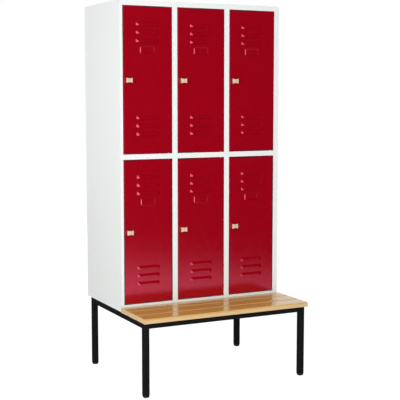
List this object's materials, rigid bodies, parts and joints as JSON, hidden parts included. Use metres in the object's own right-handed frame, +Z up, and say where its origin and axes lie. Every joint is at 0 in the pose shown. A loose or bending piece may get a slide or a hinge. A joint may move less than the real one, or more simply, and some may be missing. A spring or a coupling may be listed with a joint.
{
  "type": "locker with bench",
  "caption": "Two-tier steel locker with red louvred doors and turn latches, standing on a black square-tube frame that carries a slatted beech seat in front of it.",
  "frame": {"origin": "centre of the whole footprint (cabinet and seat) on the floor", "axes": "+X to the right seen from the front, +Y to the back, +Z up"},
  "size_m": [0.941, 0.811, 1.97],
  "materials": {
    "body_grey": "satin",
    "door_red": "satin",
    "frame_black": "satin",
    "beech": "clear varnish",
    "latch_cream": "satin",
    "black_plastic": "matt",
    "zinc_steel": "zinc plated"
  },
  "bodies": {
    "frame": {"leg_front_left": "frame_black", "leg_front_right": "frame_black", "leg_rear_left": "frame_black", "leg_rear_right": "frame_black", "foot_caps": "black_plastic", "side_rail_left": "frame_black", "side_rail_right": "frame_black", "front_rail": "frame_black", "rear_rail": "frame_black", "cross_rail": "frame_black", "seat_slat_front": "beech", "seat_slat_middle": "beech", "seat_slat_rear": "beech", "seat_screws": "zinc_steel", "side_panel_left": "body_grey", "side_panel_right": "body_grey", "partition_left": "body_grey", "partition_right": "body_grey", "top_panel": "body_grey", "bottom_panel": "body_grey", "middle_shelf_left": "body_grey", "middle_shelf_middle": "body_grey", "middle_shelf_right": "body_grey", "back_panel": "body_grey", "cabinet_bolts": "zinc_steel", "coat_rails": "zinc_steel", "rail_cups": "black_plastic", "hinge_pins": "zinc_steel"},
    "door_lower_left": {"door_panel_lower_left": "door_red", "door_stiffener_lower_left": "door_red", "latch_rosette_lower_left": "black_plastic"},
    "latch_lower_left": {"turn_knob_lower_left": "latch_cream", "latch_cam_lower_left": "zinc_steel"},
    "door_lower_middle": {"door_panel_lower_middle": "door_red", "door_stiffener_lower_middle": "door_red", "latch_rosette_lower_middle": "black_plastic"},
    "latch_lower_middle": {"turn_knob_lower_middle": "latch_cream", "latch_cam_lower_middle": "zinc_steel"},
    "door_lower_right": {"door_panel_lower_right": "door_red", "door_stiffener_lower_right": "door_red", "latch_rosette_lower_right": "black_plastic"},
    "latch_lower_right": {"turn_knob_lower_right": "latch_cream", "latch_cam_lower_right": "zinc_steel"},
    "door_upper_left": {"door_panel_upper_left": "door_red", "door_stiffener_upper_left": "door_red", "latch_rosette_upper_left": "black_plastic"},
    "latch_upper_left": {"turn_knob_upper_left": "latch_cream", "latch_cam_upper_left": "zinc_steel"},
    "door_upper_middle": {"door_panel_upper_middle": "door_red", "door_stiffener_upper_middle": "door_red", "latch_rosette_upper_middle": "black_plastic"},
    "latch_upper_middle": {"turn_knob_upper_middle": "latch_cream", "latch_cam_upper_middle": "zinc_steel"},
    "door_upper_right": {"door_panel_upper_right": "door_red", "door_stiffener_upper_right": "door_red", "latch_rosette_upper_right": "black_plastic"},
    "latch_upper_right": {"turn_knob_upper_right": "latch_cream", "latch_cam_upper_right": "zinc_steel"}
  },
  "joints": [
    {"name": "door_lower_left_hinge", "type": "hinge", "parent": "frame", "child": "door_lower_left", "pos_m": [-0.193, -0.0885, 0.7895], "axis": [0, 0, 1], "range_deg": [0, 110]},
    {"name": "latch_lower_left_turn", "type": "hinge", "parent": "door_lower_left", "child": "latch_lower_left", "pos_m": [-0.418, -0.0945, 0.7895], "axis": [0, 1, 0], "range_deg": [0, 90]},
    {"name": "door_lower_middle_hinge", "type": "hinge", "parent": "frame", "child": "door_lower_middle", "pos_m": [0.112, -0.0885, 0.7895], "axis": [0, 0, 1], "range_deg": [0, 110]},
    {"name": "latch_lower_middle_turn", "type": "hinge", "parent": "door_lower_middle", "child": "latch_lower_middle", "pos_m": [-0.113, -0.0945, 0.7895], "axis": [0, 1, 0], "range_deg": [0, 90]},
    {"name": "door_lower_right_hinge", "type": "hinge", "parent": "frame", "child": "door_lower_right", "pos_m": [0.417, -0.0885, 0.7895], "axis": [0, 0, 1], "range_deg": [0, 110]},
    {"name": "latch_lower_right_turn", "type": "hinge", "parent": "door_lower_right", "child": "latch_lower_right", "pos_m": [0.192, -0.0945, 0.7895], "axis": [0, 1, 0], "range_deg": [0, 90]},
    {"name": "door_upper_left_hinge", "type": "hinge", "parent": "frame", "child": "door_upper_left", "pos_m": [-0.193, -0.0885, 1.5675], "axis": [0, 0, 1], "range_deg": [0, 110]},
    {"name": "latch_upper_left_turn", "type": "hinge", "parent": "door_upper_left", "child": "latch_upper_left", "pos_m": [-0.418, -0.0945, 1.5675], "axis": [0, 1, 0], "range_deg": [0, 90]},
    {"name": "door_upper_middle_hinge", "type": "hinge", "parent": "frame", "child": "door_upper_middle", "pos_m": [0.112, -0.0885, 1.5675], "axis": [0, 0, 1], "range_deg": [0, 110]},
    {"name": "latch_upper_middle_turn", "type": "hinge", "parent": "door_upper_middle", "child": "latch_upper_middle", "pos_m": [-0.113, -0.0945, 1.5675], "axis": [0, 1, 0], "range_deg": [0, 90]},
    {"name": "door_upper_right_hinge", "type": "hinge", "parent": "frame", "child": "door_upper_right", "pos_m": [0.417, -0.0885, 1.5675], "axis": [0, 0, 1], "range_deg": [0, 110]},
    {"name": "latch_upper_right_turn", "type": "hinge", "parent": "door_upper_right", "child": "latch_upper_right", "pos_m": [0.192, -0.0945, 1.5675], "axis": [0, 1, 0], "range_deg": [0, 90]}
  ]
}
